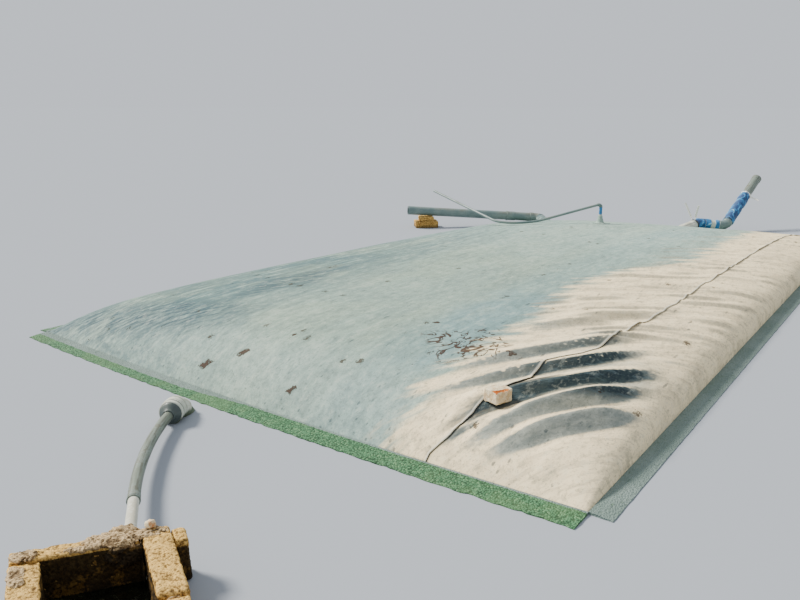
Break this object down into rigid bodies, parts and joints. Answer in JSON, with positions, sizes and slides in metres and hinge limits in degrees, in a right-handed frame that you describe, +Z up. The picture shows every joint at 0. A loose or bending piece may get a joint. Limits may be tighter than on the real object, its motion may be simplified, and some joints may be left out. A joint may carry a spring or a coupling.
{
  "type": "membrane bag biogas digester",
  "caption": "Low inflated membrane cover of a bag biogas digester with welded hems, feed and inlet pipes, a gas outlet and a masonry outlet box.",
  "frame": {"origin": "middle of the whole plan at the water line, which is the level of the flat welded hems' underside", "axes": "+X across the bag, towards its pleated side; +Y along the bag, from the outlet box towards the wrapped inlet pipe; +Z up"},
  "size_m": [4.8386, 9.9174, 0.6747],
  "materials": {
    "membrane": "dusty grey polyethylene sheet with dirt streaks",
    "membrane_sunlit": "dusty grey polyethylene sheet, cream with dry silt",
    "wet_hem": "welded sheet edge with a green water crust",
    "grey_pvc": "weathered grey pvc pipe",
    "pale_pvc": "bleached pvc fitting",
    "dark_pvc": "dark grey pvc reducer",
    "blue_wrap": "wrinkled blue tarpaulin wrapping",
    "pale_strap": "pale rubber tie strap",
    "dark_strap": "dark rubber tie strap",
    "block": "coarse tan cement block with mortar",
    "mortar": "rough mortar",
    "brick": "broken half brick"
  },
  "bodies": {
    "root": {"main_cover_sheet": "membrane", "right_side_sheet": "membrane_sunlit", "lap_seam_strip": "membrane", "near_hem": "wet_hem", "far_hem": "wet_hem", "left_hem": "wet_hem", "right_hem": "wet_hem", "gas_boot": "membrane", "gas_riser": "grey_pvc", "gas_riser_socket": "pale_pvc", "gas_riser_wrap": "blue_wrap", "gas_elbow": "grey_pvc", "gas_pipe": "grey_pvc", "gas_pipe_bend": "grey_pvc", "gas_pipe_end": "grey_pvc", "feed_pipe": "grey_pvc", "feed_elbow": "grey_pvc", "feed_boot": "membrane", "feed_pier_base_block": "block", "feed_pier_top_block": "block", "inlet_boot": "pale_pvc", "inlet_first_elbow": "grey_pvc", "inlet_elbow_wrap": "blue_wrap", "inlet_low_pipe": "grey_pvc", "inlet_second_elbow": "grey_pvc", "inlet_riser_pipe": "grey_pvc", "inlet_riser_wrap": "blue_wrap", "boot_strap": "pale_strap", "riser_foot_strap": "dark_strap", "riser_top_strap": "pale_strap", "strap_end_left": "pale_strap", "strap_end_right": "pale_strap", "strap_end_riser": "pale_strap", "outlet_leg": "pale_pvc", "outlet_elbow": "pale_pvc", "outlet_reducer": "dark_pvc", "outlet_pipe": "grey_pvc", "outlet_coupling": "grey_pvc", "outlet_tail_pipe": "pale_pvc", "box_back_wall": "block", "box_right_wall": "block", "box_left_wall": "block", "box_front_wall": "block", "box_corner_block": "block", "box_mortar_collar": "mortar", "box_rubble_stone": "brick", "cover_brick": "brick"}
  },
  "joints": []
}
